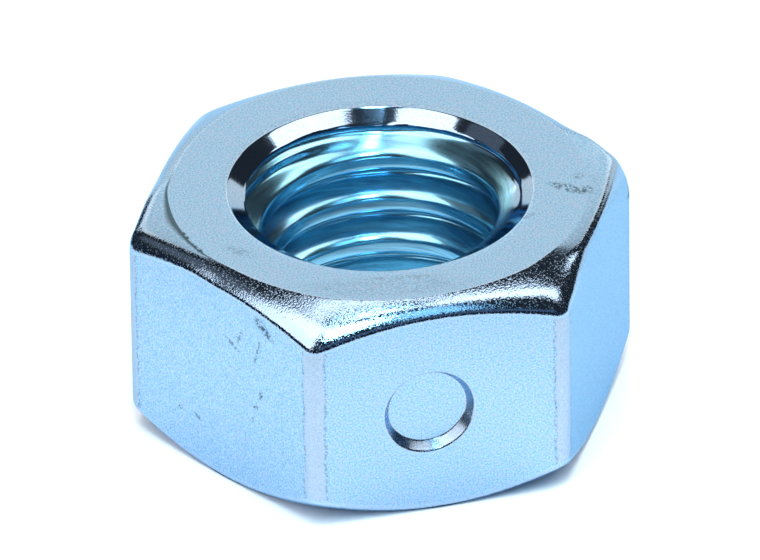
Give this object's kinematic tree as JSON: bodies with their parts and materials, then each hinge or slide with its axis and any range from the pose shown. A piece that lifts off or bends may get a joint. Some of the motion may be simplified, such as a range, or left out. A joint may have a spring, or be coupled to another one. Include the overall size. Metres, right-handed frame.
{
  "type": "hex lock nut",
  "caption": "All-metal hex lock nut with a threaded bore countersunk at both ends, and round dimples punched in its flats so that the thread grips the bolt.",
  "frame": {"origin": "middle of the lower bearing face, on the bore's axis", "axes": "+Z along the bore axis, +X through two opposite corners, and -Y out of a dimpled flat"},
  "size_m": [0.0144, 0.0126, 0.0068],
  "materials": {
    "zinc_plate": "steel with bright zinc plating and a clear blue passivate"
  },
  "bodies": {
    "root": {"hex_nut": "zinc_plate"}
  },
  "joints": []
}
